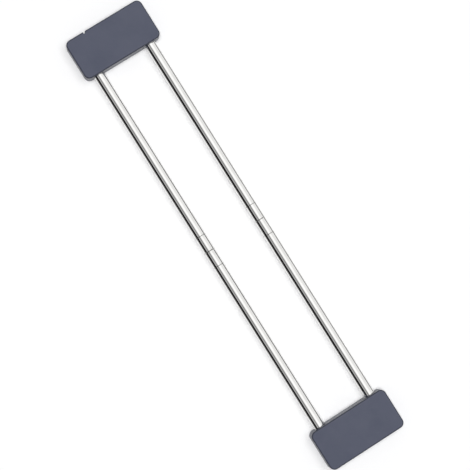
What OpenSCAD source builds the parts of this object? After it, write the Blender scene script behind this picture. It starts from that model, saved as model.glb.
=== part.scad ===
// Telescopic window security bar: two round steel bars between two screw-down end blocks.
// Each bar is a pair of outer tubes over a floating inner rod, so the blocks pull apart to suit
// the window. The bars run along X, the blocks' mounting faces lie on z = 0, and the origin is
// midway between the blocks. The upper block is at +X and the left bar at +Y.

/* [Overall] */
// Length over both end blocks with the bar pushed shut
closed_length = 870; // [740:10:1200]
// Distance between the axes of the two bars
bar_pitch = 103.5; // [90:0.5:140]
// How far the blocks pull apart
travel = 480; // [200:10:600]

/* [Bars] */
// Outside diameter of the outer tubes and the collars
tube_d = 20; // [18:0.5:26]
// Wall of the outer tubes
tube_wall = 1.5; // [1.2:0.1:2]
// Radial step from the tube's bore down to the rod
rod_step = 1.5; // [1.3:0.1:2.2]
// Length of a collar that shows outside its tube
collar_length = 30; // [20:1:45]
// Length of a collar's spigot inside its tube
spigot_length = 38; // [25:1:60]
// Length of the guide bush in a collar's mouth
bush_length = 12; // [8:1:18]
// Length of the glide ring at each end of a rod
glide_length = 12; // [8:1:20]

/* [End blocks] */
// Size of a block along the bars
block_length = 75.5; // [64:0.5:100]
// Radius of the block's upright corners
corner_r = 10; // [6:0.5:14]
// Radius of the edge round a cover's face
face_edge_r = 1.6; // [0.8:0.1:2.2]
// Side wall of a cover
cover_wall = 2.5; // [2:0.1:3.5]
// Thickness of a cover's face
cover_face = 3; // [2:0.1:4]
// Floor of the base that lies on the wall or window frame
base_floor = 4; // [3:0.5:6]
// Block length left behind the end of a tube
end_room = 26; // [24:1:32]
// Air between the tube clamps and the inside of the cover
head_room = 2.5; // [1:0.5:10]

/* [Fixings] */
// Diameter of the screw holes in a base
mount_hole_d = 6.5; // [5:0.5:8]
// Diameter of the countersink over a screw hole
mount_sink_d = 12.5; // [11:0.5:15]
// Distance from a block's inner or outer face to its screw holes
mount_edge = 15; // [14:0.5:18]
// Thread diameter of the clamp screws
clamp_screw_d = 4; // [3:0.5:5]
// Length of a clamp screw under its head
clamp_screw_length = 13; // [10:1:14]
// Metal over the tube in a clamp
clamp_wall = 2.5; // [2:0.25:4]
// Length of a clamp along the tube
clamp_length = 16; // [12:1:22]
// Width of the release slot in the upper cover's outer wall
slot_width = 4; // [2:0.5:5]
// Depth of the release slot from the outer face
slot_depth = 3.5; // [3:0.25:5]

/* [Hidden] */
$fn = 64;

// Ends and sides, as signs along X and Y
upper = 1;
lower = -1;
left = 1;
right = -1;

// Fits and small gaps
eps = 0.01; // overlap that keeps joined shapes one solid
cut = 1; // how far a cutting shape runs past what it cuts
cover_gap = 0.3; // between a cover's walls and its base
rim_gap = 0.8; // from a cover's rim to the mounting face
notch_gap = 0.4; // round a tube where it enters a cover
seat_gap = 0.05; // between a tube and its cradle or clamp
clamp_gap = 0.3; // from the cradle's shoulders to the clamp's ears
end_gap = 0.2; // axial play at stops and shoulders
spigot_gap = 0.03; // between a spigot or plug and the tube's bore
bush_gap = 0.02; // between a bush and its counterbore
clamp_hole_gap = 0.25; // round the clamp screw in the clamp's ear
key_gap = 0.2; // round the key peg in the tube's wall
rod_gap = 0.1; // between the rod and a bush
bore_gap = 0.3; // between the rod and a collar's plain bore
glide_gap = 0.15; // between a glide ring and the tube's bore
neck_gap = 0.05; // between a glide ring and the rod's neck
peg_gap = 0.05; // between a cover's post and its peg
screw_gap = 0.05; // round the clamp screw in its tapped hole
shut_gap = 0.4; // between facing collars when shut
stop_gap = 0.5; // left at the stop when fully open

// Bars
seam = 0.6; // chamfer at each end of a collar
tube_chamfer = 0.3; // chamfer on a tube's ends
rod_chamfer = 0.5;
glide_chamfer = 0.6;
bush_chamfer = 0.4;
lead = 1; // length of the taper that starts a spigot or plug into its tube
lead_step = 0.5; // radial depth of that taper on a spigot
plug_step = 0.8; // and on a plug
tube_id = tube_d - 2 * tube_wall;
rod_d = tube_id - 2 * rod_step;
neck_step = 2; // depth that the rod's ends are turned down to carry the glides
neck_d = rod_d - 2 * neck_step;
groove_step = 0.5; // depth of the clip's groove in the neck
groove_d = neck_d - 2 * groove_step;
clip_t = 1;
clip_rim = 2.4; // radial width of a clip
clip_mouth = groove_d / 2; // width of the gap in a clip
rod_tail = 2.2; // neck left beyond the clip
bush_wall = 1.2;
bush_set = 0.6; // how far the bush is sunk in the collar's mouth
spigot_end = collar_length + spigot_length;
glide_start = travel / 2 + spigot_end + stop_gap;
clip_start = glide_start + glide_length + 2 * end_gap;
rod_end = clip_start + clip_t + rod_tail;

// End blocks, given for the upper one
half_length = closed_length / 2;
inner_x = half_length - block_length;
bar_y = bar_pitch / 2;
cradle_skin = 1.5; // metal between a tube and the base's floor
axis_z = base_floor + cradle_skin + tube_d / 2;
head_d = 1.75 * clamp_screw_d; // pan head
head_h = 0.6 * clamp_screw_d;
head_straight = 0.7 * head_h; // height of the head below its chamfer
head_top_d = 0.72 * head_d;
socket_d = 0.42 * head_d; // hexagon socket, over its corners
socket_floor = 0.35 * head_h;
ear_t = 4;
ear_room = 0.35; // from the screw's head to the arch of the clamp
ear_edge = 3.65; // from a clamp screw's axis to the edge of the ear
clamp_screw_y = tube_d / 2 + clamp_wall + head_d / 2 + ear_room;
cradle_w = 2 * (clamp_screw_y + ear_edge);
inset = cover_wall + cover_gap;
side_room = 0.95; // from a cradle to the base's edge
block_width = bar_pitch + cradle_w + 2 * (side_room + inset);
cover_top = axis_z + tube_d / 2 + clamp_wall + head_room + cover_face;
tube_end_x = half_length - end_room;
plug_flange = 2;
plug_flange_in = 0.5; // from the tube's outside in to the flange's rim
plug_length = 12;
plug_wall = 1.5;
stop_x = tube_end_x + plug_flange + end_gap;
stop_wall = 3;
clamp_set = 5; // from the cradle's inner end to the clamp
clamp_x = inner_x + inset + clamp_set + clamp_length / 2;
tapped_floor = 0.5; // metal under a tapped hole, above the base's floor
key_x = tube_end_x - 8; // peg that keys a tube in its cradle
key_d = 5;
boss_wall = 2.25; // round the countersink
boss_d = mount_sink_d + 2 * boss_wall;
boss_room = 2; // between a boss and a cradle
boss_h = base_floor + (mount_sink_d - mount_hole_d) / 2;
boss_y = bar_y - cradle_w / 2 - boss_d / 2 - boss_room;
boss_x = [inner_x + mount_edge, half_length - mount_edge];
lip_t = 2; // low wall round the base's floor
lip_h = 3;
rib_t = 2.5;
peg_d = 6; // pegs that the cover pushes on to
peg_edge = 11; // from a block's face to its pegs
post_wall = 1.8;
post_d = peg_d + 2 * (peg_gap + post_wall);
post_reach = 10; // length of peg inside a post
peg_room = 6; // from a peg's top to the inside of the cover's face
peg_top = cover_top - cover_face - peg_room;
peg_tip = 1; // length of the taper on a peg's tip
peg_tip_step = 0.8; // radial depth of that taper
rib_drop = 1; // from a boss's top down to the ribs' top
corner_peg_y = block_width / 2 - inset - peg_edge;
pegs = [[inner_x + peg_edge, 0], [half_length - peg_edge, 0],
    [half_length - peg_edge, corner_peg_y], [half_length - peg_edge, -corner_peg_y]];
face_rib_h = 1.5;
slot_y = 36; // release slot, left of the middle

// Puts a piece drawn for the upper end at either end
module at_end(end) rotate([0, 0, end == upper ? 0 : 180]) children();

// Local Z runs along a bar, outwards from x
module on_bar(x, side) translate([x, side * bar_y, axis_z]) rotate([0, 90, 0]) children();

// Flat outline of a block, drawn in by some amount all round
module block_outline(inset_by) {
    r = corner_r - inset_by;
    x0 = inner_x + inset_by;
    y1 = block_width / 2 - inset_by;
    translate([x0, -y1 + r]) square([block_length - 2 * inset_by, 2 * (y1 - r)]);
    translate([x0 + r, -y1]) square([block_length - 2 * inset_by - 2 * r, 2 * y1]);
    for (x = [x0 + r, half_length - inset_by - r], y = [-1, 1])
        translate([x, y * (y1 - r)]) circle(r);
}

// A rectangle standing on the X axis with its two upper corners rounded
module round_topped(width, height, r) {
    translate([-width / 2, 0]) square([width, height - r]);
    translate([-width / 2 + r, 0]) square([width - 2 * r, height]);
    for (x = [-1, 1]) translate([x * (width / 2 - r), height - r]) circle(r);
}

// Solid of a block's outside, with the edge round its face rounded over
module block_solid(z0) {
    h = cover_top - z0;
    mid_x = (inner_x + half_length) / 2;
    translate([0, 0, z0]) {
        translate([inner_x + corner_r, 0, 0]) rotate([90, 0, 90])
            linear_extrude(block_length - 2 * corner_r) round_topped(block_width, h, face_edge_r);
        translate([mid_x, block_width / 2 - corner_r, 0]) rotate([90, 0, 0])
            linear_extrude(block_width - 2 * corner_r) round_topped(block_length, h, face_edge_r);
        for (x = [inner_x + corner_r, half_length - corner_r], y = [-1, 1])
            translate([x, y * (block_width / 2 - corner_r), 0]) rotate_extrude()
                intersection() {
                    round_topped(2 * corner_r, h, face_edge_r);
                    square([corner_r, h]);
                }
    }
}

// Cap with four hollow posts that push over the base's pegs, so that it hides the screws
module cover(end, slotted) color("slategray") at_end(end) difference() {
    union() {
        difference() {
            block_solid(rim_gap);
            translate([0, 0, -cut]) linear_extrude(cover_top - cover_face + cut) block_outline(cover_wall);
        }
        for (p = pegs) translate([p[0], p[1], peg_top - post_reach])
            cylinder(d = post_d, h = cover_top - cover_face - peg_top + post_reach + eps);
        for (y = [-1, 1])
            translate([inner_x + cover_wall - eps, y * boss_y - rib_t / 2,
                cover_top - cover_face - face_rib_h])
                cube([block_length - 2 * cover_wall + 2 * eps, rib_t, face_rib_h + eps]);
    }
    for (p = pegs) translate([p[0], p[1], peg_top - post_reach - cut])
        cylinder(d = peg_d + 2 * peg_gap, h = post_reach + peg_tip + cut);
    for (side = [left, right]) {
        on_bar(inner_x - cut, side) cylinder(d = tube_d + 2 * notch_gap, h = cover_wall + 2 * cut);
        translate([inner_x - cut, side * bar_y - tube_d / 2 - notch_gap, -cut])
            cube([cover_wall + 2 * cut, tube_d + 2 * notch_gap, axis_z + cut]);
    }
    if (slotted) translate([half_length - slot_depth, slot_y - slot_width / 2, -cut])
        cube([slot_depth + cut, slot_width, cover_top + 2 * cut]);
}

// Cast base: floor, two tube cradles, screw bosses and cover pegs
module base(end) color("darkgray") at_end(end) difference() {
    union() {
        linear_extrude(base_floor) block_outline(inset);
        linear_extrude(base_floor + lip_h) difference() {
            block_outline(inset);
            block_outline(inset + lip_t);
        }
        for (side = [left, right]) cradle_body(side);
        for (x = boss_x, y = [-1, 1]) translate([x, y * boss_y, 0]) cylinder(d = boss_d, h = boss_h);
        for (p = pegs) translate([p[0], p[1], 0]) {
            cylinder(d = peg_d, h = peg_top - peg_tip);
            translate([0, 0, peg_top - peg_tip])
                cylinder(d1 = peg_d, d2 = peg_d - 2 * peg_tip_step, h = peg_tip);
        }
        for (x = boss_x) translate([x - rib_t / 2, -bar_y, 0]) cube([rib_t, 2 * bar_y, boss_h - rib_drop]);
        translate([boss_x[0], -rib_t / 2, 0]) cube([boss_x[1] - boss_x[0], rib_t, boss_h - rib_drop]);
    }
    for (side = [left, right]) cradle_cuts(side);
    for (x = boss_x, y = [-1, 1]) translate([x, y * boss_y, 0]) {
        translate([0, 0, -cut]) cylinder(d = mount_hole_d, h = boss_h + 2 * cut);
        translate([0, 0, base_floor]) cylinder(d1 = mount_hole_d, d2 = mount_sink_d, h = boss_h - base_floor);
        translate([0, 0, boss_h - eps]) cylinder(d = mount_sink_d, h = cover_top);
    }
}

// Block of metal that a tube lies in, up to the tube's middle
module cradle_body(side) intersection() {
    translate([inner_x + inset, side * bar_y - cradle_w / 2, 0])
        cube([stop_x + stop_wall - inner_x - inset, cradle_w, axis_z]);
    linear_extrude(axis_z) block_outline(inset);
}

// Groove for the tube, with its key peg left standing, relief for the ears and tapped holes
module cradle_cuts(side) {
    difference() {
        on_bar(inner_x + inset - cut, side)
            cylinder(d = tube_d + 2 * seat_gap, h = stop_x - inner_x - inset + cut);
        translate([key_x, side * bar_y, 0])
            cylinder(d = key_d, h = base_floor + cradle_skin + tube_wall - end_gap);
    }
    for (y = [-1, 1]) translate([clamp_x, side * bar_y + y * clamp_screw_y, base_floor + tapped_floor])
        cylinder(d = clamp_screw_d + 2 * screw_gap, h = axis_z);
}

// Steel saddle that holds a tube down in its cradle
module clamp(end, side) color("lightgray") at_end(end) difference() {
    on_bar(clamp_x - clamp_length / 2, side * end) linear_extrude(clamp_length) clamp_profile();
    for (y = [-1, 1]) translate([clamp_x, side * end * bar_y + y * clamp_screw_y, 0])
        cylinder(d = clamp_screw_d + 2 * clamp_hole_gap, h = cover_top);
}

// Drawn looking along the bar: minus x is up, y is sideways
module clamp_profile() difference() {
    union() {
        circle(tube_d / 2 + clamp_wall);
        translate([-clamp_gap - ear_t, -cradle_w / 2]) square([ear_t, cradle_w]);
    }
    circle(tube_d / 2 + seat_gap);
    translate([-clamp_gap, -cradle_w]) square([2 * tube_d, 2 * cradle_w]);
}

// The four pan-head screws of one end's clamps, with a hexagon socket
module clamp_screws(end) color("silver") at_end(end)
    for (side = [left, right], y = [-1, 1])
        translate([clamp_x, side * bar_y + y * clamp_screw_y, axis_z + clamp_gap + ear_t]) difference() {
            union() {
                cylinder(d = head_d, h = head_straight);
                translate([0, 0, head_straight])
                    cylinder(d1 = head_d, d2 = head_top_d, h = head_h - head_straight);
                translate([0, 0, -clamp_screw_length])
                    cylinder(d = clamp_screw_d, h = clamp_screw_length + eps);
            }
            translate([0, 0, socket_floor]) cylinder(d = socket_d, h = head_h, $fn = 6);
        }

// Polished outer tube, from its collar to its end inside the block
module tube(end, side) color("gainsboro") at_end(end) difference() {
    on_bar(collar_length, side * end) rotate_extrude() tube_profile(tube_end_x - collar_length);
    translate([key_x, side * end * bar_y, 0]) cylinder(d = key_d + 2 * key_gap, h = axis_z);
}

module tube_profile(length) polygon([
    [tube_id / 2, 0], [tube_d / 2 - tube_chamfer, 0], [tube_d / 2, tube_chamfer],
    [tube_d / 2, length - tube_chamfer], [tube_d / 2 - tube_chamfer, length], [tube_id / 2, length]]);

// Collar pressed into the tube's mouth, the same diameter outside as the tube
module collar(end, side) color("whitesmoke") at_end(end) on_bar(0, side * end) rotate_extrude() {
    face = shut_gap / 2;
    r = tube_d / 2;
    bore = rod_d / 2 + bore_gap;
    seat = rod_d / 2 + rod_gap + bush_wall;
    seat_end = face + bush_set + bush_length;
    plug_r = tube_id / 2 - spigot_gap;
    polygon([[seat, face], [r - seam, face], [r, face + seam],
        [r, collar_length - seam], [r - seam, collar_length], [plug_r, collar_length],
        [plug_r, spigot_end - lead], [plug_r - lead_step, spigot_end], [bore, spigot_end],
        [bore, seat_end], [seat, seat_end]]);
}

// Nylon bush that the rod runs in
module bush(end, side) color("ivory")
at_end(end) on_bar(shut_gap / 2 + bush_set, side * end) rotate_extrude() {
    r0 = rod_d / 2 + rod_gap;
    r1 = r0 + bush_wall - bush_gap;
    polygon([[r0 + bush_chamfer, 0], [r1, 0], [r1, bush_length], [r0, bush_length], [r0, bush_chamfer]]);
}

// Hollow plastic plug that closes a tube's end inside the block
module plug(end, side) color("dimgray") at_end(end) on_bar(tube_end_x, side * end) rotate_extrude() {
    r = tube_id / 2 - spigot_gap;
    rim = tube_d / 2 - plug_flange_in;
    polygon([[0, 0], [0, plug_flange], [rim, plug_flange], [rim, 0], [r, 0], [r, lead - plug_length],
        [r - plug_step, -plug_length], [r - plug_wall, -plug_length], [r - plug_wall, 0]]);
}

// Solid inner rod, turned down at both ends for its glides and clips
module rod(side) color("lightsteelblue") on_bar(0, side) rotate_extrude() {
    r = rod_d / 2;
    n = neck_d / 2;
    g = groove_d / 2;
    c = rod_chamfer;
    polygon([[0, -rod_end], [n - c, -rod_end], [n, -rod_end + c],
        [n, -clip_start - clip_t], [g, -clip_start - clip_t], [g, -clip_start], [n, -clip_start],
        [n, -glide_start], [r - c, -glide_start], [r, -glide_start + c],
        [r, glide_start - c], [r - c, glide_start], [n, glide_start],
        [n, clip_start], [g, clip_start], [g, clip_start + clip_t], [n, clip_start + clip_t],
        [n, rod_end - c], [n - c, rod_end], [0, rod_end]]);
}

// Open spring rings in the grooves at the two ends of a rod
module rod_clips(side) color("darkslategray") for (end = [upper, lower])
    at_end(end) on_bar(clip_start + seat_gap, side * end) difference() {
        cylinder(r = groove_d / 2 + clip_rim, h = clip_t - 2 * seat_gap);
        translate([0, 0, -cut]) cylinder(r = groove_d / 2 + seat_gap, h = clip_t + 2 * cut);
        translate([0, -clip_mouth / 2, -cut]) cube([neck_d, clip_mouth, clip_t + 2 * cut]);
    }

// Nylon rings that centre the rod's ends in the tubes and stop it pulling out
module rod_glides(side) color("ivory") for (end = [upper, lower])
    at_end(end) on_bar(glide_start + end_gap, side * end) rotate_extrude() {
        r0 = neck_d / 2 + neck_gap;
        r1 = tube_id / 2 - glide_gap;
        c = glide_chamfer;
        polygon([[r0, 0], [r1 - c, 0], [r1, c], [r1, glide_length - c], [r1 - c, glide_length],
            [r0, glide_length]]);
    }

base(upper);  // upper_base
cover(upper, true);  // upper_cover
clamp(upper, left);  // upper_clamp_left
clamp(upper, right);  // upper_clamp_right
clamp_screws(upper);  // upper_clamp_screws
tube(upper, left);  // upper_tube_left
tube(upper, right);  // upper_tube_right
collar(upper, left);  // upper_collar_left
collar(upper, right);  // upper_collar_right
bush(upper, left);  // upper_bush_left
bush(upper, right);  // upper_bush_right
plug(upper, left);  // upper_plug_left
plug(upper, right);  // upper_plug_right
base(lower);  // lower_base
cover(lower, false);  // lower_cover
clamp(lower, left);  // lower_clamp_left
clamp(lower, right);  // lower_clamp_right
clamp_screws(lower);  // lower_clamp_screws
tube(lower, left);  // lower_tube_left
tube(lower, right);  // lower_tube_right
collar(lower, left);  // lower_collar_left
collar(lower, right);  // lower_collar_right
bush(lower, left);  // lower_bush_left
bush(lower, right);  // lower_bush_right
plug(lower, left);  // lower_plug_left
plug(lower, right);  // lower_plug_right
rod(left);  // rod_left
rod(right);  // rod_right
rod_clips(left);  // rod_clips_left
rod_clips(right);  // rod_clips_right
rod_glides(left);  // rod_glides_left
rod_glides(right);  // rod_glides_right
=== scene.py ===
import math

import bpy
import numpy as np
from mathutils import Matrix, Vector


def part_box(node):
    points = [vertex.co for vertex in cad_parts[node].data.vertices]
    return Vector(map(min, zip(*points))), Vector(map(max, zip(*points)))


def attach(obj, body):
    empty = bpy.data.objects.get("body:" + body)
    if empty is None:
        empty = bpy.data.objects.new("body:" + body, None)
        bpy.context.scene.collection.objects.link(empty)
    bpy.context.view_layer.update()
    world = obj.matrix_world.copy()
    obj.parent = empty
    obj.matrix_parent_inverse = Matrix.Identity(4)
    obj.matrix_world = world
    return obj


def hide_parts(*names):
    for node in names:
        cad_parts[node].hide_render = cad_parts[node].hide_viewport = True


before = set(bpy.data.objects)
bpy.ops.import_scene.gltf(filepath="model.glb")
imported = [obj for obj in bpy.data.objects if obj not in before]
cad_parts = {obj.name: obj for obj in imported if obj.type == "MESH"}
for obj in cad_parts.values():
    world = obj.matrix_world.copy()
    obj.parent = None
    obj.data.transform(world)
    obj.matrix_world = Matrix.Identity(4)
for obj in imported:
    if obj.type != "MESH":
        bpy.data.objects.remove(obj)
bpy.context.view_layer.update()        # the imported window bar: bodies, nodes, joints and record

mm = 0.001
ends = {"upper": 1, "lower": -1}      # the upper block is at +X
sides = {"left": 1, "right": -1}      # the left bar is at +Y

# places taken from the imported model, in millimetres
coverLow, coverHigh = (np.array(corner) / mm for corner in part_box("upper_cover"))
tubeLow, tubeHigh = (np.array(corner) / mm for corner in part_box("upper_tube_left"))
collarLow, collarHigh = (np.array(corner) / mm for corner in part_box("upper_collar_left"))
rodLow, rodHigh = (np.array(corner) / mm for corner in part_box("rod_left"))
innerX = coverLow[0]
halfLength = coverHigh[0]
halfWidth = coverHigh[1]
coverTop = coverHigh[2]
barY = (tubeLow[1] + tubeHigh[1]) / 2
axisZ = (tubeLow[2] + tubeHigh[2]) / 2
tubeR = (tubeHigh[2] - tubeLow[2]) / 2


# helpers for meshes; their lengths are in millimetres

def addPiece(name, vertices, faces, material, body, nodes, sharpAngle):
    # faces is a list of index arrays with one row for each face
    mesh = bpy.data.meshes.new(name)
    faceLists = [face for block in faces for face in np.asarray(block).tolist()]
    mesh.from_pydata((vertices * mm).tolist(), [], faceLists)
    mesh.validate()
    mesh.shade_smooth()
    mesh.set_sharp_from_angle(angle=math.radians(sharpAngle))
    mesh.materials.append(material)
    piece = bpy.data.objects.new(name, mesh)
    bpy.context.scene.collection.objects.link(piece)
    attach(piece, body)
    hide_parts(*nodes)
    return piece


def addMask(piece, name, values):
    # one number for each vertex, read by the material
    mask = piece.data.attributes.new(name, "FLOAT", "POINT")
    mask.data.foreach_set("value", np.asarray(values, np.float32))


def addBevel(piece, width, angle):
    # softens the edges that are sharper than the angle in degrees
    bevel = piece.modifiers.new("softEdges", "BEVEL")
    bevel.width = width * mm
    bevel.segments = 2
    bevel.limit_method = "ANGLE"
    bevel.angle_limit = math.radians(angle)
    bevel.harden_normals = True


def roundCorners(corners, closed=True, steps=5):
    # corners are (along, across, radius); each corner with a radius becomes an arc that is tangent
    # to both of its sides, and the others stay as points
    count = len(corners)
    path = []
    for i, (u, v, radius) in enumerate(corners):
        here = np.array([u, v], float)
        if radius == 0 or (not closed and i in (0, count - 1)):
            path.append(here)
            continue
        before = np.array(corners[i - 1][:2], float) - here
        after = np.array(corners[(i + 1) % count][:2], float) - here
        before = before / np.linalg.norm(before)
        after = after / np.linalg.norm(after)
        half = math.acos(np.clip(before @ after, -1, 1)) / 2
        centre = here + (before + after) / np.linalg.norm(before + after) * radius / math.sin(half)
        start = here + before * radius / math.tan(half) - centre
        end = here + after * radius / math.tan(half) - centre
        turn = math.atan2(start[0] * end[1] - start[1] * end[0], start @ end)
        for t in np.linspace(0, 1, steps + 1):
            c, s = math.cos(turn * t), math.sin(turn * t)
            path.append(centre + np.array([c * start[0] - s * start[1], s * start[0] + c * start[1]]))
    return np.array(path)


def splitLong(path, longest, closed=True):
    # puts evenly spaced points on every stretch longer than the given length
    following = np.roll(path, -1, axis=0) if closed else path[1:]
    stretches = []
    for a, b in zip(path, following):
        count = max(1, math.ceil(np.linalg.norm(b - a) / longest))
        stretches.append(a + (b - a) * (np.arange(count) / count)[:, None])
    if not closed:
        stretches.append(path[-1:])
    return np.vstack(stretches)


def gridFaces(rows, columns, closed):
    # four corners for each cell of a grid that wraps round its columns, and round its rows if closed
    row = np.arange(rows if closed else rows - 1)[:, None]
    column = np.arange(columns)[None, :]
    nextRow = (row + 1) % rows * columns
    nextColumn = (column + 1) % columns
    cells = [row * columns + column, nextRow + column, nextRow + nextColumn, row * columns + nextColumn]
    return np.stack(cells, axis=2).reshape(-1, 4)


def endDiscs(rows, columns):
    # one face over the first row of a grid and one over the last
    ring = np.arange(columns)
    return [ring[None, :], (ring[::-1] + (rows - 1) * columns)[None, :]]


def lathe(path, around=96, closed=True, origin=(0, 0, 0), along="x"):
    # surface of revolution: point (u, angle) = (path along, path radius * cos, path radius * sin)
    angle = np.arange(around) * 2 * math.pi / around
    u = np.repeat(path[:, :1], around, axis=1)
    c, s = path[:, 1:] * np.cos(angle), path[:, 1:] * np.sin(angle)
    grid = np.stack([u, c, s] if along == "x" else [c, s, u], axis=2)
    blocks = [gridFaces(len(path), around, closed)]
    if not closed:
        blocks += endDiscs(len(path), around)
    return outward(grid.reshape(-1, 3), blocks, origin)


def outward(vertices, blocks, origin=(0, 0, 0)):
    # turns every face round if the closed surface's signed volume is negative, then moves it
    volume = 0.0
    for block in blocks:
        for k in range(1, block.shape[1] - 1):
            a, b, c = vertices[block[:, 0]], vertices[block[:, k]], vertices[block[:, k + 1]]
            volume += float(np.einsum("ij,ij->", a, np.cross(b, c)))
    if volume < 0:
        blocks = [block[:, ::-1] for block in blocks]
    return vertices + np.array(origin, float), blocks


def joined(*shapes):
    # several closed shapes as one list of vertices and faces
    vertices, blocks, start = [], [], 0
    for points, faces in shapes:
        vertices.append(points)
        blocks += [block + start for block in faces]
        start += len(points)
    return np.vstack(vertices), blocks


def atEnd(vertices, end):
    # a shape drawn for the upper end, turned half round the origin for the lower end
    return vertices * np.array([ends[end], ends[end], 1.0])


# helpers for shaders

def addNode(tree, kind, **settings):
    node = tree.nodes.new(kind)
    for key, value in settings.items():
        setattr(node, key, value)
    return node


def wire(tree, source, target):
    tree.links.new(source, target)


def newGroup(name, inputs, outputs):
    tree = bpy.data.node_groups.new(name, "ShaderNodeTree")
    for label, value in inputs:
        socket = tree.interface.new_socket(label, in_out="INPUT", socket_type="NodeSocketFloat")
        socket.default_value = value
    for label in outputs:
        tree.interface.new_socket(label, in_out="OUTPUT", socket_type="NodeSocketFloat")
    return tree, addNode(tree, "NodeGroupInput"), addNode(tree, "NodeGroupOutput")


def placeGroup(tree, group, **values):
    node = addNode(tree, "ShaderNodeGroup", node_tree=group)
    for label, value in values.items():
        node.inputs[label].default_value = value
    return node


def mathNode(tree, operation, a, b=None):
    # each of a and b is a number or another node's output
    node = addNode(tree, "ShaderNodeMath", operation=operation)
    for index, value in enumerate((a, b)):
        if isinstance(value, (int, float)):
            node.inputs[index].default_value = value
        elif value is not None:
            wire(tree, value, node.inputs[index])
    return node.outputs[0]


def scaleVector(tree, vector, factors):
    # multiplies X, Y and Z by three factors
    node = addNode(tree, "ShaderNodeVectorMath", operation="MULTIPLY")
    wire(tree, vector, node.inputs[0])
    node.inputs[1].default_value = factors
    return node.outputs["Vector"]


def remap(tree, value, fromLow, fromHigh, toLow=0.0, toHigh=1.0):
    # a smooth step from the first range to the second
    node = addNode(tree, "ShaderNodeMapRange", interpolation_type="SMOOTHSTEP")
    wire(tree, value, node.inputs["Value"])
    node.inputs["From Min"].default_value = fromLow
    node.inputs["From Max"].default_value = fromHigh
    node.inputs["To Min"].default_value = toLow
    node.inputs["To Max"].default_value = toHigh
    return node.outputs["Result"]


def noiseNode(tree, vector, scale, detail, roughness=0.55):
    node = addNode(tree, "ShaderNodeTexNoise")
    node.inputs["Detail"].default_value = detail
    node.inputs["Roughness"].default_value = roughness
    if isinstance(scale, (int, float)):
        node.inputs["Scale"].default_value = scale
    else:
        wire(tree, scale, node.inputs["Scale"])
    wire(tree, vector, node.inputs["Vector"])
    return node.outputs["Fac"]


def newMaterial(name, metallic=0.0):
    material = bpy.data.materials.new(name)
    material.use_nodes = True
    tree = material.node_tree
    shader = tree.nodes["Principled BSDF"]
    shader.inputs["Metallic"].default_value = metallic
    return material, tree, shader


def blendColors(tree, factor, a, b):
    # a at factor 0 and b at factor 1; each is a colour or another node's output
    node = addNode(tree, "ShaderNodeMix", data_type="RGBA")
    wire(tree, factor, node.inputs["Factor"])
    for label, value in (("A", a), ("B", b)):
        socket = [s for s in node.inputs if s.name == label and s.type == "RGBA"][0]
        if isinstance(value, tuple):
            socket.default_value = (*value, 1.0)
        else:
            wire(tree, value, socket)
    return [s for s in node.outputs if s.type == "RGBA"][0]


def blendNumbers(tree, factor, a, b):
    # the output a at factor 0 and the number b at factor 1
    node = addNode(tree, "ShaderNodeMix", data_type="FLOAT")
    wire(tree, factor, node.inputs["Factor"])
    wire(tree, a, node.inputs["A"])
    node.inputs["B"].default_value = b
    return node.outputs["Result"]


def farMirrored(tree, start, stop):
    # 1 where a mirrored ray has come further than the stop distance, 0 for every other ray
    ray = addNode(tree, "ShaderNodeLightPath")
    far = remap(tree, ray.outputs["Ray Length"], start, stop)
    return mathNode(tree, "MULTIPLY", far, ray.outputs["Is Glossy Ray"])


def addBump(tree, shader, height, strength, distance):
    bump = addNode(tree, "ShaderNodeBump")
    bump.inputs["Strength"].default_value = strength
    bump.inputs["Distance"].default_value = distance
    wire(tree, height, bump.inputs["Height"])
    wire(tree, bump.outputs["Normal"], shader.inputs["Normal"])


# effects that several materials use, each in a node group of its own

effects = {
    "fineGrain": 1.7,                   # how much finer the grain's noise is than its cells
    "patchScale": 22.0,
    "scratchTurn": (0.3, 0.2, 0.7),     # radians
    "scratchPeaks": (0.66, 0.78),       # noise values over which a scratch fades in
    "smudgeScale": 35.0,
    "lineSqueeze": (1.0, 0.02, 0.02),
    "cloudScale": 60.0,
}


def makeMouldedGrain():
    # fine grain from a spark-eroded mould: rounded cells plus finer noise, and broad soft patches
    tree, inputs, outputs = newGroup("mouldedGrain", [("Scale", 1500.0)], ["Height", "Patches"])
    place = addNode(tree, "ShaderNodeTexCoord").outputs["Object"]
    cells = addNode(tree, "ShaderNodeTexVoronoi", feature="SMOOTH_F1")
    wire(tree, place, cells.inputs["Vector"])
    wire(tree, inputs.outputs["Scale"], cells.inputs["Scale"])
    fineScale = mathNode(tree, "MULTIPLY", inputs.outputs["Scale"], effects["fineGrain"])
    fine = noiseNode(tree, place, fineScale, 2.0)
    wire(tree, mathNode(tree, "ADD", cells.outputs["Distance"], fine), outputs.inputs["Height"])
    wire(tree, noiseNode(tree, place, effects["patchScale"], 4.0, 0.6), outputs.inputs["Patches"])
    return tree


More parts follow.
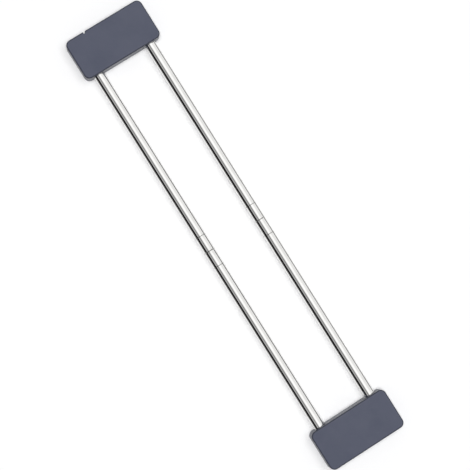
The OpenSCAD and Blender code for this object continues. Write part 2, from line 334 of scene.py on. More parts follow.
def makeRubMarks():
    # faint scratches from handling: noise stretched along a slanted line and kept only at its peaks;
    # and broad smudges from plain noise
    sockets = [("Scale", 160.0), ("Stretch", 9.0)]
    tree, inputs, outputs = newGroup("rubMarks", sockets, ["Mask", "Smudge"])
    place = addNode(tree, "ShaderNodeTexCoord").outputs["Object"]
    turned = addNode(tree, "ShaderNodeMapping")
    turned.inputs["Rotation"].default_value = effects["scratchTurn"]
    wire(tree, place, turned.inputs["Vector"])
    stretch = addNode(tree, "ShaderNodeCombineXYZ")
    wire(tree, mathNode(tree, "DIVIDE", 1.0, inputs.outputs["Stretch"]), stretch.inputs["X"])
    stretch.inputs["Y"].default_value = 1.0
    stretch.inputs["Z"].default_value = 1.0
    scaled = addNode(tree, "ShaderNodeVectorMath", operation="MULTIPLY")
    wire(tree, turned.outputs["Vector"], scaled.inputs[0])
    wire(tree, stretch.outputs["Vector"], scaled.inputs[1])
    lines = noiseNode(tree, scaled.outputs["Vector"], inputs.outputs["Scale"], 6.0, 0.7)
    wire(tree, remap(tree, lines, *effects["scratchPeaks"]), outputs.inputs["Mask"])
    wire(tree, noiseNode(tree, place, effects["smudgeScale"], 5.0, 0.6), outputs.inputs["Smudge"])
    return tree


def makePolishLines():
    # rings round the bar from polishing: noise that changes fast along the bar and slowly round it;
    # and clouds from plain noise
    tree, inputs, outputs = newGroup("polishLines", [("Fineness", 2600.0)], ["Height", "Cloud"])
    place = addNode(tree, "ShaderNodeTexCoord").outputs["Object"]
    squeezed = scaleVector(tree, place, effects["lineSqueeze"])
    lines = noiseNode(tree, squeezed, inputs.outputs["Fineness"], 3.0, 0.6)
    wire(tree, lines, outputs.inputs["Height"])
    wire(tree, noiseNode(tree, place, effects["cloudScale"], 4.0, 0.6), outputs.inputs["Cloud"])
    return tree


mouldedGrain = makeMouldedGrain()
rubMarks = makeRubMarks()
polishLines = makePolishLines()


# materials; a depth is in millimetres

patchRange = (0.35, 0.65)       # noise values over which a moulding's patches fade in
cloudRange = (0.35, 0.7)        # the same for the clouds on turned and polished steel
smudgeRange = (0.3, 0.7)        # and for smudges, which change the roughness

slate = {
    "base": (0.0545, 0.0610, 0.0925),
    "pale": (0.0615, 0.0680, 0.1005),   # cloudy patches in the moulding
    "edge": (0.034, 0.038, 0.058),      # painted shade on the smooth edge round the face, where the grain runs out
    "rubbed": (0.11, 0.12, 0.15),       # scratches
    "rubbedShare": 0.10,
    "scratchScale": 150.0,
    "scratchStretch": 9.0,
    "roughness": (0.36, 0.44),
    "edgeRoughness": 0.26,
    "grainScale": 1500.0,
    "grainStrength": 0.35,
    "grainDepth": 0.03,
}


def makeSlatePlastic():
    # grained face and walls with a smoother edge between them, painted darker as shade
    material, tree, shader = newMaterial("slatePlastic")
    grain = placeGroup(tree, mouldedGrain, Scale=slate["grainScale"])
    marks = placeGroup(tree, rubMarks, Scale=slate["scratchScale"], Stretch=slate["scratchStretch"])
    edge = addNode(tree, "ShaderNodeAttribute", attribute_name="edgeShadeMask").outputs["Fac"]
    patches = remap(tree, grain.outputs["Patches"], *patchRange)
    body = blendColors(tree, patches, slate["base"], slate["pale"])
    edgeShaded = blendColors(tree, edge, body, slate["edge"])
    scratched = mathNode(tree, "MULTIPLY", marks.outputs["Mask"], slate["rubbedShare"])
    wire(tree, blendColors(tree, scratched, edgeShaded, slate["rubbed"]), shader.inputs["Base Color"])
    rough = remap(tree, marks.outputs["Smudge"], *smudgeRange, *slate["roughness"])
    wire(tree, blendNumbers(tree, edge, rough, slate["edgeRoughness"]), shader.inputs["Roughness"])
    addBump(tree, shader, grain.outputs["Height"], slate["grainStrength"], slate["grainDepth"] * mm)
    return material


polished = {
    "base": (0.89, 0.885, 0.87),
    "cloudy": (0.84, 0.835, 0.82),
    "scuffed": (0.62, 0.62, 0.61),
    "scuffedShare": 0.25,
    "scratchScale": 240.0,
    "scratchStretch": 14.0,
    "seam": (0.20, 0.19, 0.18),         # painted shade in the grooves where the pieces of a bar meet
    "seamRoughness": 0.45,
    "far": (0.10, 0.10, 0.10),          # painted dark reflection: how one bar looks when it is mirrored in the other
    "farFrom": (0.060, 0.075),          # metres over which that change comes in
    "roughness": (0.05, 0.09),
    "fineness": 2600.0,
    "lineStrength": 0.12,
    "lineDepth": 0.002,
}


def makePolishedSteel():
    # mirror polish with faint clouds and scratches, and painted shade in the seams
    material, tree, shader = newMaterial("polishedSteel", metallic=1.0)
    lines = placeGroup(tree, polishLines, Fineness=polished["fineness"])
    marks = placeGroup(tree, rubMarks, Scale=polished["scratchScale"],
                       Stretch=polished["scratchStretch"])
    cloud = remap(tree, lines.outputs["Cloud"], *cloudRange)
    body = blendColors(tree, cloud, polished["base"], polished["cloudy"])
    scratched = mathNode(tree, "MULTIPLY", marks.outputs["Mask"], polished["scuffedShare"])
    scuffed = blendColors(tree, scratched, body, polished["scuffed"])
    # painted shade: the seam grooves are darkened through this mask
    seam = addNode(tree, "ShaderNodeAttribute", attribute_name="seamShadeMask").outputs["Fac"]
    seamShaded = blendColors(tree, seam, scuffed, polished["seam"])
    # painted dark reflection: rays mirrored from far off see the bar darkened
    mirrored = farMirrored(tree, *polished["farFrom"])
    wire(tree, blendColors(tree, mirrored, seamShaded, polished["far"]), shader.inputs["Base Color"])
    rough = remap(tree, marks.outputs["Smudge"], *smudgeRange, *polished["roughness"])
    wire(tree, blendNumbers(tree, seam, rough, polished["seamRoughness"]), shader.inputs["Roughness"])
    addBump(tree, shader, lines.outputs["Height"], polished["lineStrength"], polished["lineDepth"] * mm)
    return material


turned = {
    "scratchScale": 200.0,
    "scratchStretch": 10.0,
    "scratchShare": 0.4,
    "spread": (0.8, 1.25),              # smoothest and roughest places, as shares of the roughness
    "lineStrength": 0.25,
    # bright and dark colour, roughness, fineness and depth of the rings
    "groundSteel": ((0.62, 0.62, 0.61), (0.565, 0.565, 0.56), 0.22, 3200.0, 0.004),
    "zincSteel": ((0.66, 0.67, 0.69), (0.50, 0.52, 0.56), 0.33, 900.0, 0.006),
    "screwSteel": ((0.60, 0.60, 0.62), (0.44, 0.45, 0.48), 0.28, 1800.0, 0.006),
    "blackSteel": ((0.10, 0.10, 0.11), (0.05, 0.05, 0.055), 0.38, 1800.0, 0.006),
}


def makeTurnedSteel(name):
    # turned or ground steel: rings round the axis, darker in the clouds and scratches
    bright, dark, roughness, fineness, depth = turned[name]
    smooth, rough = turned["spread"]
    material, tree, shader = newMaterial(name, metallic=1.0)
    lines = placeGroup(tree, polishLines, Fineness=fineness)
    marks = placeGroup(tree, rubMarks, Scale=turned["scratchScale"], Stretch=turned["scratchStretch"])
    body = blendColors(tree, remap(tree, lines.outputs["Cloud"], *cloudRange), bright, dark)
    scratched = mathNode(tree, "MULTIPLY", marks.outputs["Mask"], turned["scratchShare"])
    wire(tree, blendColors(tree, scratched, body, dark), shader.inputs["Base Color"])
    smudged = remap(tree, marks.outputs["Smudge"], *smudgeRange, roughness * smooth, roughness * rough)
    wire(tree, smudged, shader.inputs["Roughness"])
    addBump(tree, shader, lines.outputs["Height"], turned["lineStrength"], depth * mm)
    return material


castAluminium = {
    "base": (0.50, 0.51, 0.52),
    "dark": (0.38, 0.39, 0.40),
    "flowRange": (0.3, 0.7),            # noise values over which the dark flow marks fade in
    "metallic": 0.9,
    "roughness": (0.42, 0.62),
    "grainScale": 700.0,
    "grainStrength": 0.5,
    "grainDepth": 0.12,
}


def makeCastAluminium():
    # grainy skin of a casting, darker in broad flow marks
    material, tree, shader = newMaterial("castAluminium", metallic=castAluminium["metallic"])
    grain = placeGroup(tree, mouldedGrain, Scale=castAluminium["grainScale"])
    marks = placeGroup(tree, rubMarks)
    flow = remap(tree, grain.outputs["Patches"], *castAluminium["flowRange"])
    body = blendColors(tree, flow, castAluminium["base"], castAluminium["dark"])
    wire(tree, body, shader.inputs["Base Color"])
    rough = remap(tree, marks.outputs["Smudge"], *smudgeRange, *castAluminium["roughness"])
    wire(tree, rough, shader.inputs["Roughness"])
    addBump(tree, shader, grain.outputs["Height"], castAluminium["grainStrength"],
            castAluminium["grainDepth"] * mm)
    return material


moulded = {
    "grainScale": 900.0,
    "grainStrength": 0.25,
    "grainDepth": 0.03,
    "spread": (0.85, 1.15),             # smoothest and roughest places, as shares of the roughness
    # colour, colour of the patches and roughness
    "nylon": ((0.74, 0.71, 0.62), (0.80, 0.78, 0.70), 0.42),
    "plugPlastic": ((0.028, 0.028, 0.030), (0.038, 0.038, 0.041), 0.45),
}


def makeMouldedPlastic(name):
    # plain moulded plastic for the small inner parts: fine grain, soft patches and smudges
    base, pale, roughness = moulded[name]
    smooth, rough = moulded["spread"]
    material, tree, shader = newMaterial(name)
    grain = placeGroup(tree, mouldedGrain, Scale=moulded["grainScale"])
    marks = placeGroup(tree, rubMarks)
    body = blendColors(tree, remap(tree, grain.outputs["Patches"], *patchRange), base, pale)
    wire(tree, body, shader.inputs["Base Color"])
    smudged = remap(tree, marks.outputs["Smudge"], *smudgeRange, roughness * smooth, roughness * rough)
    wire(tree, smudged, shader.inputs["Roughness"])
    addBump(tree, shader, grain.outputs["Height"], moulded["grainStrength"], moulded["grainDepth"] * mm)
    return material


slatePlastic = makeSlatePlastic()
polishedSteel = makePolishedSteel()
groundSteel = makeTurnedSteel("groundSteel")
zincSteel = makeTurnedSteel("zincSteel")
screwSteel = makeTurnedSteel("screwSteel")
blackSteel = makeTurnedSteel("blackSteel")
castMetal = makeCastAluminium()
nylon = makeMouldedPlastic("nylon")
plugPlastic = makeMouldedPlastic("plugPlastic")
print("materials made")


# covers

cover = {
    "cornerR": 10.0,                    # upright corners
    "edgeR": 2.2,                       # edge round the face
    "innerR": 0.6,                      # the same edge inside
    "wall": 2.5,
    "face": 3.0,
    "rim": coverLow[2],
    "notchR": tubeR + 0.4,              # arches that the bars pass through
    "slotY": 36.0,                      # release slot in the outer wall
    "slotWidth": 4.0,
    "slotDepth": 3.5,
    "postR": 4.85,                      # posts that push over the base's pegs
    "postBore": 3.05,
    "postLow": coverTop - 19.0,
    "postFloor": coverTop - 8.0,
    "postAround": 48,
    "pegEdge": 11.0,                    # from the block's inner and outer face to the posts
    "cornerPegY": halfWidth - 13.8,
    "ribY": 21.25,                      # stiffening ribs under the face
    "ribWidth": 2.5,
    "ribDrop": 1.5,
    "ribPlaces": 15,
    "sink": 0.3,                        # how far posts and ribs run into the face and walls
    "softEdge": 0.25,
    "softAngle": 55,
    "sharpAngle": 40,
    # points along the outline: one arch, the inner wall's ends and middle, the outer wall below and
    # above the slot, a side wall and a corner
    "archPoints": 25,
    "innerEndPoints": 3,
    "innerMiddlePoints": 18,
    "outerPoints": (22, 8),
    "sidePoints": 12,
    "cornerPoints": 13,
    # rows from the middle of the face to the rim
    "faceShares": (0.12, 0.3, 0.5, 0.7, 0.88),
    "faceInsets": (8.0, 5.5),           # a last one is the slot's depth
    "edgeRows": 9,
    "wallRows": 7,                      # down to the height of the arches
    "lowRows": 6,                       # and from there to the rim
    "darkRows": (1, 7),                 # rows of the edge that the painted shade mask covers
}


def coverOutline():
    # the plan as places on the outline and their outward normals, anticlockwise from the inner wall:
    # four straight walls, and quarter circles of the corner radius between them
    r, notchR, slotY = cover["cornerR"], cover["notchR"], cover["slotY"]
    arch = np.cos(np.linspace(math.pi, 0, cover["archPoints"])) * notchR
    lowEnd = np.linspace(-halfWidth + r, -barY - notchR, cover["innerEndPoints"])[:-1]
    middle = np.linspace(-barY + notchR, barY - notchR, cover["innerMiddlePoints"])[1:-1]
    highEnd = np.linspace(barY + notchR, halfWidth - r, cover["innerEndPoints"])[1:]
    innerY = np.concatenate([lowEnd, -barY + arch, middle, barY + arch, highEnd])[::-1]
    slotLow = slotY - cover["slotWidth"] / 2
    slotHigh = slotY + cover["slotWidth"] / 2
    below, above = cover["outerPoints"]
    outerY = np.concatenate([np.linspace(-halfWidth + r, slotLow, below)[:-1], [slotLow, slotHigh],
                             np.linspace(slotHigh, halfWidth - r, above)[1:]])
    sideX = np.linspace(innerX + r, halfLength - r, cover["sidePoints"])
    turn = np.linspace(0, math.pi / 2, cover["cornerPoints"])[1:-1]

    def corner(x, y, start):
        angles = start + turn
        normals = np.stack([np.cos(angles), np.sin(angles)], axis=1)
        return np.array([x, y]) + normals * r, normals

    def wall(x, y, normal):
        points = np.stack(np.broadcast_arrays(x, y), axis=1)
        return points, np.tile(np.array(normal, float), (len(points), 1))

    low, high = -halfWidth + r, halfWidth - r
    back, front = innerX + r, halfLength - r
    parts = [
        wall(innerX, innerY, (-1, 0)), corner(back, low, math.pi),
        wall(sideX, -halfWidth, (0, -1)), corner(front, low, 1.5 * math.pi),
        wall(halfLength, outerY, (1, 0)), corner(front, high, 0.0),
        wall(sideX[::-1], halfWidth, (0, 1)), corner(back, high, 0.5 * math.pi),
    ]
    return np.vstack([p for p, n in parts]), np.vstack([n for p, n in parts])


def skinRows(places, normals, archZ, centre, edgeR, inset, top):
    # skin point (row, column) = outline place moved in along its normal by the row's inset, at the
    # row's height; the first rows are shares of the way out from the middle of the face
    level = np.full(len(places), top)
    flat = places - normals * cover["faceInsets"][0]
    rows = [np.column_stack([centre + (flat - centre) * share, level]) for share in cover["faceShares"]]
    insets = (*cover["faceInsets"], cover["slotDepth"])
    rows += [np.column_stack([places - normals * d, level]) for d in insets]
    for angle in np.linspace(0, math.pi / 2, cover["edgeRows"]):
        moved = places - normals * (inset + edgeR * (1 - math.sin(angle)))
        rows.append(np.column_stack([moved, level - edgeR * (1 - math.cos(angle))]))
    wallXY = places - normals * inset
    wallTop = top - edgeR
    for t in np.linspace(0, 1, cover["wallRows"] + 1)[1:]:
        rows.append(np.column_stack([wallXY, wallTop + (archZ - wallTop) * t]))
    for t in np.linspace(0, 1, cover["lowRows"] + 1)[1:]:
        rows.append(np.column_stack([wallXY, np.full(len(places), axisZ + (cover["rim"] - axisZ) * t)]))
    return np.array(rows)


def coverShell(slotted):
    # an outer and an inner skin with the same rows and columns, less the cells in the arches and the
    # slot; every open edge of the outer skin is bridged to the same edge of the inner one
    places, normals = coverOutline()
    columns = len(places)
    onInner = normals[:, 0] < -0.999
    nearest = np.where(places[:, 1] > 0, barY, -barY)
    offset = np.abs(places[:, 1] - nearest)
    inNotch = onInner & (offset <= cover["notchR"] + 1e-6)
    archHeight = np.sqrt(np.clip(cover["notchR"] ** 2 - offset ** 2, 0, None))
    archZ = np.where(inNotch, axisZ + archHeight, axisZ)
    centre = np.array([(innerX + halfLength) / 2, 0.0])
    innerTop = coverTop - cover["face"]
    outerSkin = skinRows(places, normals, archZ, centre, cover["edgeR"], 0.0, coverTop)
    innerSkin = skinRows(places, normals, archZ, centre, cover["innerR"], cover["wall"], innerTop)
    rowCount = len(outerSkin)
    slotRow = len(cover["faceShares"]) + len(cover["faceInsets"])
    edgeRow = slotRow + 1
    archRow = rowCount - 1 - cover["lowRows"]

    keep = np.ones((rowCount - 1, columns), bool)
    width = np.abs(places[:, 1] - np.roll(places[:, 1], -1))
    archCell = inNotch & np.roll(inNotch, -1) & (width < cover["notchR"] / 2)
    keep[archRow:, archCell] = False
    if slotted:
        middleY = (places + np.roll(places, -1, axis=0))[:, 1] / 2
        slotCell = (normals[:, 0] > 0.999) & (np.abs(middleY - cover["slotY"]) < 0.1)
        keep[slotRow:, slotCell] = False
    row, column = np.nonzero(keep)
    here, below = row * columns, (row + 1) * columns
    nextColumn = (column + 1) % columns
    outer = np.stack([here + column, below + column, below + nextColumn, here + nextColumn], axis=1)
    size = rowCount * columns
    inner = outer[:, ::-1] + size

    # edges used by one cell only are the open ones
    edges = outer[:, [0, 1, 1, 2, 2, 3, 3, 0]].reshape(-1, 2)
    key = edges[:, 0].astype(np.int64) * size + edges[:, 1]
    twin = edges[:, 1].astype(np.int64) * size + edges[:, 0]
    openEdges = edges[~np.isin(key, twin) & (edges.min(axis=1) >= columns)]
    first, second = openEdges[:, 0], openEdges[:, 1]
    bridge = np.column_stack([second, first, first + size, second + size])

    # each skin's first row is closed by a fan round the middle of the face
    ring = np.arange(columns)
    nextRing = (ring + 1) % columns
    fanOut = np.column_stack([np.full(columns, 2 * size), ring, nextRing])
    fanIn = np.column_stack([np.full(columns, 2 * size + 1), nextRing + size, ring + size])
    poles = np.array([[*centre, coverTop], [*centre, innerTop]])
    vertices = np.vstack([outerSkin.reshape(-1, 3), innerSkin.reshape(-1, 3), poles])
    blocks = (outer, inner, bridge, fanOut, fanIn)
    used = np.unique(np.concatenate([block.ravel() for block in blocks]))
    number = np.full(len(vertices), -1)
    number[used] = np.arange(len(used))

    # painted shade on the outer skin's edge rows
    mask = np.zeros((2, rowCount, columns))
    start, stop = cover["darkRows"]
    mask[0, edgeRow + start:edgeRow + stop] = 1.0
    mask = np.concatenate([mask.ravel(), [0.0, 0.0]])[used]
    points, faces = outward(vertices[used], [number[block] for block in blocks])
    return points, faces, mask


def coverPosts():
    # hollow posts: a profile turned round an upright axis; its two points on the axis only steer the
    # rounding next to them, and are then left out
    root = coverTop - cover["face"] + cover["sink"]
    profile = roundCorners([
        (cover["postFloor"], 0.0, 0), (cover["postFloor"], cover["postBore"], 0.3),
        (cover["postLow"], cover["postBore"], 0.3), (cover["postLow"], cover["postR"], 0.4),
        (root, cover["postR"], 0), (root, 0.0, 0)], closed=False)[1:-1]
    x0, x1 = innerX + cover["pegEdge"], halfLength - cover["pegEdge"]
    y1 = cover["cornerPegY"]
    spots = [(x0, 0, 0), (x1, 0, 0), (x1, y1, 0), (x1, -y1, 0)]
    return [lathe(profile, cover["postAround"], False, spot, "z") for spot in spots]


def coverRib(y):
    # a stiffening rib: a strip with two rounded corners, carried along X under the face
    half = cover["ribWidth"] / 2
    root = coverTop - cover["face"] + cover["sink"]
    low = coverTop - cover["face"] - cover["ribDrop"]
    section = roundCorners([(-half, root, 0), (-half, low, 0.4), (half, low, 0.4), (half, root, 0)])
    reach = cover["wall"] - cover["sink"]
    stations = np.linspace(innerX + reach, halfLength - reach, cover["ribPlaces"])
    x = np.repeat(stations[:, None], len(section), axis=1)
    yz = np.broadcast_to(section + [y, 0.0], (len(stations), len(section), 2))
    grid = np.concatenate([x[:, :, None], yz], axis=2)
    faces = [gridFaces(*x.shape, False), *endDiscs(*x.shape)]
    return outward(grid.reshape(-1, 3), faces)


def makeCover(end, slotted):
    # the shell with four posts and two ribs
    vertices, faces, mask = coverShell(slotted)
    extras = coverPosts() + [coverRib(cover["ribY"]), coverRib(-cover["ribY"])]
    allVertices, allFaces = joined((vertices, faces), *extras)
    piece = addPiece(f"{end}_cover_moulding", atEnd(allVertices, end), allFaces, slatePlastic,
                     f"{end}_cover", [f"{end}_cover"], cover["sharpAngle"])
    addMask(piece, "edgeShadeMask", np.concatenate([mask, np.zeros(len(allVertices) - len(mask))]))
    addBevel(piece, cover["softEdge"], cover["softAngle"])


makeCover("upper", True)
makeCover("lower", False)
print("covers made")


# bars

tube = {
    "wall": 1.5,
    "boreR": 0.15,                      # rounding of the bore's edges
    "softR": 0.45,                      # rounding of the outer edges
    "around": 128,
    "longest": 9.0,                     # longest stretch between two rings of points
    "sharpAngle": 30,
}
collar = {
    "seam": 0.6,                        # chamfer at both ends of the part that shows
    "softR": 0.25,
    "plugR": tubeR - 1.53,              # the spigot inside the tube
    "bore": 7.3,
    "seat": 8.3,                        # counterbore for the guide bush
    "seatEnd": 12.8,
    "lead": 1.0,
    "leadStep": 0.5,
    "seamShadeReach": 1.5,                   # how far along the bar the painted seam shade goes to either side
    "seamDrop": 0.08,                   # and how far under the bar's outside it starts
    "around": 128,
    "longest": 4.0,
}
rod = {
    "neckStep": 2.0,                    # how much the ends are turned down for the glides
    "grooveStep": 0.5,
    "tail": 2.2,                        # neck beyond the clip
    "clip": 1.0,
    "glide": 12.4,
    "softR": 0.5,
    "tipR": 0.02,                       # radius of the last ring of points on each end face
    "around": 96,
    "longest": 9.0,
}


def seamShadeShare(profile, around):
    # 1 on a profile's points that lie below the bar's outside within reach of a seam, else 0: where the
    # seams' painted shade goes
    seams = np.array([collarLow[0], tubeLow[0]])
    near = np.abs(profile[:, :1] - seams).min(axis=1) < collar["seamShadeReach"]
    inside = profile[:, 1] < tubeR - collar["seamDrop"]
    return np.repeat((near & inside).astype(float), around)


def makeBarPiece(name, profile, around, end, side, node):
    # a closed profile turned round the bar's axis
    sign = ends[end] * sides[side]
    vertices, faces = lathe(profile, around, True, (0, sign * barY, axisZ))
    piece = addPiece(name, atEnd(vertices, end), faces, polishedSteel, f"{end}_end", [node],
                     tube["sharpAngle"])
    addMask(piece, "seamShadeMask", seamShadeShare(profile, around))


def makeTube(end, side):
    # turned from a thin rectangle with rounded corners
    bore = tubeR - tube["wall"]
    profile = roundCorners([(tubeLow[0], bore, tube["boreR"]), (tubeLow[0], tubeR, tube["softR"]),
                            (tubeHigh[0], tubeR, tube["softR"]), (tubeHigh[0], bore, tube["boreR"])])
    makeBarPiece(f"{end}_{side}_outer_tube", splitLong(profile, tube["longest"]), tube["around"],
                 end, side, f"{end}_tube_{side}")


def makeCollar(end, side):
    # turned from a stepped profile: the part that shows, the spigot and the counterbored bore
    face, shoulder, last = collarLow[0], tubeLow[0], collarHigh[0]
    seam, softR = collar["seam"], collar["softR"]
    plugR, bore, seat = collar["plugR"], collar["bore"], collar["seat"]
    profile = roundCorners([
        (face, seat, 0), (face, tubeR - seam, softR), (face + seam, tubeR, softR),
        (shoulder - seam, tubeR, softR), (shoulder, tubeR - seam, 0), (shoulder, plugR, 0),
        (last - collar["lead"], plugR, 0.2), (last, plugR - collar["leadStep"], 0.1), (last, bore, 0.1),
        (collar["seatEnd"], bore, 0), (collar["seatEnd"], seat, 0)], steps=3)
    makeBarPiece(f"{end}_{side}_joint_collar", splitLong(profile, collar["longest"]), collar["around"],
                 end, side, f"{end}_collar_{side}")


def makeRod(side):
    # turned from one stepped profile that runs out from the middle to both ends
    shaftR = (rodHigh[2] - rodLow[2]) / 2
    neckR = shaftR - rod["neckStep"]
    grooveR = neckR - rod["grooveStep"]
    tip = rodHigh[0]
    clipOut = tip - rod["tail"]
    clipIn = clipOut - rod["clip"]
    shoulder = clipIn - rod["glide"]
    half = [(shoulder, shaftR, rod["softR"]), (shoulder, neckR, 0.2), (clipIn, neckR, 0),
            (clipIn, grooveR, 0), (clipOut, grooveR, 0), (clipOut, neckR, 0), (tip, neckR, rod["softR"]),
            (tip, rod["tipR"], 0)]
    corners = [(-x, radius, soft) for x, radius, soft in half[::-1]] + half
    profile = splitLong(roundCorners(corners, closed=False, steps=4), rod["longest"], False)
    vertices, faces = lathe(profile, rod["around"], False, (0, sides[side] * barY, axisZ))
    addPiece(f"{side}_inner_rod", vertices, faces, groundSteel, f"{side}_rod", [f"rod_{side}"],
             tube["sharpAngle"])


for side in sides:
    for end in ends:
        makeTube(end, side)
        makeCollar(end, side)
    makeRod(side)
print("bars made")


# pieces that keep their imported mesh: better materials and softened edges

soft = {
    "weld": 0.02,                       # points nearer than this become one
    "flatAngle": 0.5,                   # degrees within which neighbouring faces count as one flat face
    "edgeAngle": 30,
}


def soften(name, material, width):
    # welds the loose triangles, joins the flat ones and rounds the edges between them
    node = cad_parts[name]
    node.data.materials.clear()
    node.data.materials.append(material)
    weld = node.modifiers.new("weld", "WELD")
    weld.merge_threshold = soft["weld"] * mm
    flat = node.modifiers.new("flatFaces", "DECIMATE")
    flat.decimate_type = "DISSOLVE"
    flat.angle_limit = math.radians(soft["flatAngle"])
    addBevel(node, width, soft["edgeAngle"])


for end in ends:
    soften(f"{end}_base", castMetal, 0.35)
    soften(f"{end}_clamp_screws", screwSteel, 0.15)
    for side in sides:
        soften(f"{end}_clamp_{side}", zincSteel, 0.3)
        soften(f"{end}_bush_{side}", nylon, 0.1)
        soften(f"{end}_plug_{side}", plugPlastic, 0.2)
for side in sides:
    soften(f"rod_glides_{side}", nylon, 0.15)
    soften(f"rod_clips_{side}", blackSteel, 0.1)
print("inner pieces finished")


# floor, light and camera; lengths are in metres

studio = {
    "floorColor": (0.90, 0.90, 0.905),
    "floorTone": 0.995,                 # the paper's darker patches
    "floorShine": 0.1,
    "floorRoughness": 0.9,
    "floorFar": (0.12, 0.12, 0.12),     # painted dark reflection: how the paper's far part looks in the polished bars
    "floorNear": (0.038, 0.064),        # metres over which that change comes in
    "floorSize": 8.0,
    "floorCells": 8,
    "floorDrop": 0.00002,
    "floorFade": (1.3, 3.0),            # metres from the middle over which the paper runs out
    "backdrop": (1.0, 1.0, 1.0),
    # brightness of the surroundings by angle from straight up, in degrees, positive to the right bar
    "bands": [
        (-180, 0.004), (-57.5, 0.004), (-54, 0.52), (-39, 0.49), (-31, 0.20), (-24, 0.20), (-13, 0.74),
        (-3, 1.13), (16, 1.22), (26, 1.03), (38, 0.95), (80, 0.89), (92, 0.82), (180, 0.82),
    ],
    "endDark": (0.30, 0.60, 0.60),      # darker towards both ends: from, to and the share left
    "dome": 0.32,                       # the even light that falls on everything from all round
    # overhead boxes, which the bars don't mirror: size in X and Y, place and power
    "softboxes": [
        ((2.8, 2.5), (0.0, -1.07, 5.0), 76.0),
        ((2.0, 0.86), (0.0, 0.43, 5.0), 162.0),
    ],
}


def makeFloor():
    # a flat square grid with the object standing on it
    cells = studio["floorCells"]
    steps = np.linspace(-0.5, 0.5, cells + 1) * studio["floorSize"]
    x, y = np.meshgrid(steps, steps, indexing="ij")
    vertices = np.stack([x, y, np.full(x.shape, -studio["floorDrop"])], axis=2).reshape(-1, 3)
    row, column = np.arange(cells)[:, None] * (cells + 1), np.arange(cells)[None, :]
    nextRow = row + cells + 1
    corners = [row + column, nextRow + column, nextRow + column + 1, row + column + 1]
    faces = np.stack(corners, axis=2).reshape(-1, 4)
    mesh = bpy.data.meshes.new("floor")
    mesh.from_pydata(vertices.tolist(), [], faces.tolist())
    floor = bpy.data.objects.new("floor", mesh)
    bpy.context.scene.collection.objects.link(floor)

    # white paper that fades into the backdrop and is painted darker where the bars mirror its far part,
    # a painted reflection
    material, tree, shader = newMaterial("floorPaper")
    shader.inputs["Roughness"].default_value = studio["floorRoughness"]
    shader.inputs["Specular IOR Level"].default_value = studio["floorShine"]
    place = addNode(tree, "ShaderNodeTexCoord").outputs["Object"]
    paper = studio["floorColor"]
    shade = tuple(channel * studio["floorTone"] for channel in paper)
    seen = blendColors(tree, noiseNode(tree, place, 6.0, 2.0), paper, shade)
    away = addNode(tree, "ShaderNodeVectorMath", operation="LENGTH")
    wire(tree, scaleVector(tree, place, (1.0, 1.0, 0.0)), away.inputs[0])
    fade = remap(tree, away.outputs["Value"], *studio["floorFade"], 1.0, 0.0)
    wire(tree, fade, shader.inputs["Alpha"])
    mirrored = farMirrored(tree, *studio["floorNear"])
    wire(tree, blendColors(tree, mirrored, seen, studio["floorFar"]), shader.inputs["Base Color"])
    mesh.materials.append(material)


def bandLight(tree):
    # the surroundings that the bars mirror: bands along the bars, darker towards both ends
    direction = addNode(tree, "ShaderNodeTexCoord").outputs["Generated"]
    parts = addNode(tree, "ShaderNodeSeparateXYZ")
    wire(tree, direction, parts.inputs[0])
    toRight = mathNode(tree, "MULTIPLY", parts.outputs["Y"], -1.0)
    angle = mathNode(tree, "ARCTAN2", toRight, parts.outputs["Z"])
    share = mathNode(tree, "ADD", mathNode(tree, "DIVIDE", angle, 2 * math.pi), 0.5)
    ramp = addNode(tree, "ShaderNodeValToRGB")
    wire(tree, share, ramp.inputs["Fac"])
    stops = ramp.color_ramp.elements
    bands = studio["bands"]
    peak = max(value for degrees, value in bands)
    while len(stops) < len(bands):
        stops.new(0.5)
    for stop, (degrees, value) in zip(stops, bands):
        stop.position = degrees / 360 + 0.5
    for stop, (degrees, value) in zip(stops, bands):
        stop.color = (value / peak, value / peak, value / peak, 1.0)
    light = addNode(tree, "ShaderNodeBackground")
    wire(tree, ramp.outputs["Color"], light.inputs["Color"])
    start, stop, left = studio["endDark"]
    sideways = mathNode(tree, "ABSOLUTE", parts.outputs["X"])
    wire(tree, remap(tree, sideways, start, stop, peak, peak * left), light.inputs["Strength"])
    return light


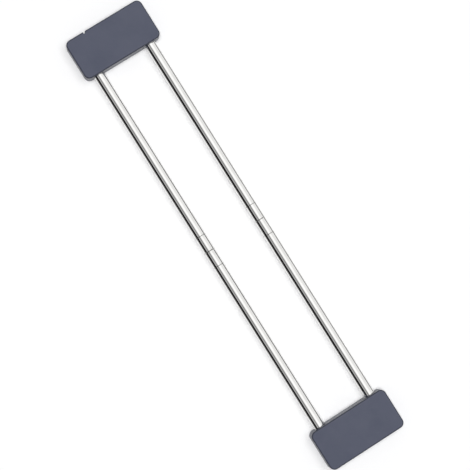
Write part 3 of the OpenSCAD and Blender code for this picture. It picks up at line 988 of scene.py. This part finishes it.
def makeSurroundings():
    # mirrored rays see the bands, the camera sees the plain backdrop and all else gets the even dome
    world = bpy.data.worlds.new("studio")
    bpy.context.scene.world = world
    world.use_nodes = True
    tree = world.node_tree
    tree.nodes.clear()
    dome = addNode(tree, "ShaderNodeBackground")
    dome.inputs["Strength"].default_value = studio["dome"]
    plain = addNode(tree, "ShaderNodeBackground")
    plain.inputs["Color"].default_value = (*studio["backdrop"], 1.0)
    ray = addNode(tree, "ShaderNodeLightPath")
    below = dome
    for seenBy, above in (("Is Glossy Ray", bandLight(tree)), ("Is Camera Ray", plain)):
        mix = addNode(tree, "ShaderNodeMixShader")
        wire(tree, ray.outputs[seenBy], mix.inputs["Fac"])
        wire(tree, below.outputs[0], mix.inputs[1])
        wire(tree, above.outputs[0], mix.inputs[2])
        below = mix
    wire(tree, below.outputs[0], addNode(tree, "ShaderNodeOutputWorld").inputs["Surface"])


def makeSoftbox(size, place, power):
    # a rectangle of light that faces the middle of the object
    light = bpy.data.lights.new("softbox", "AREA")
    light.shape = "RECTANGLE"
    light.size, light.size_y = size
    light.energy = power
    lamp = bpy.data.objects.new("softbox", light)
    lamp.location = place
    lamp.rotation_mode = "QUATERNION"
    lamp.rotation_quaternion = (-Vector(place)).to_track_quat("-Z", "Y")
    lamp.visible_glossy = False
    lamp.visible_camera = False
    bpy.context.scene.collection.objects.link(lamp)


view = {
    "turn": 31.985,         # degrees that the bars lean to the left in the picture
    "tiltToUpper": 0.3,     # degrees from straight above, towards the upper block
    "tiltToLeft": 5.6,      # and towards the left bar
    "distance": 2.64,
    "target": (0.0, -0.0006, 0.0155),
    "lens": 116.52,
    "sensor": 36.0,
    "clipEnd": 100.0,
}


def makeCamera():
    # the view from nearly straight above, with the bars turned in the picture
    turn = math.radians(view["turn"])
    toUpper = math.tan(math.radians(view["tiltToUpper"]))
    toLeft = math.tan(math.radians(view["tiltToLeft"]))
    back = Vector((toUpper, toLeft, 1)).normalized()
    right = Vector((-math.sin(turn), -math.cos(turn), 0))
    right = (right - back * right.dot(back)).normalized()
    up = back.cross(right)
    data = bpy.data.cameras.new("camera")
    data.lens = view["lens"]
    data.sensor_width = view["sensor"]
    data.clip_end = view["clipEnd"]
    camera = bpy.data.objects.new("camera", data)
    place = Matrix.Translation(Vector(view["target"]) + back * view["distance"])
    camera.matrix_world = place @ Matrix((right, up, back)).transposed().to_4x4()
    bpy.context.scene.collection.objects.link(camera)
    bpy.context.scene.camera = camera


makeFloor()
makeSurroundings()
for box in studio["softboxes"]:
    makeSoftbox(*box)
makeCamera()
bpy.context.scene.view_settings.view_transform = "Standard"
print("floor, light and camera made")
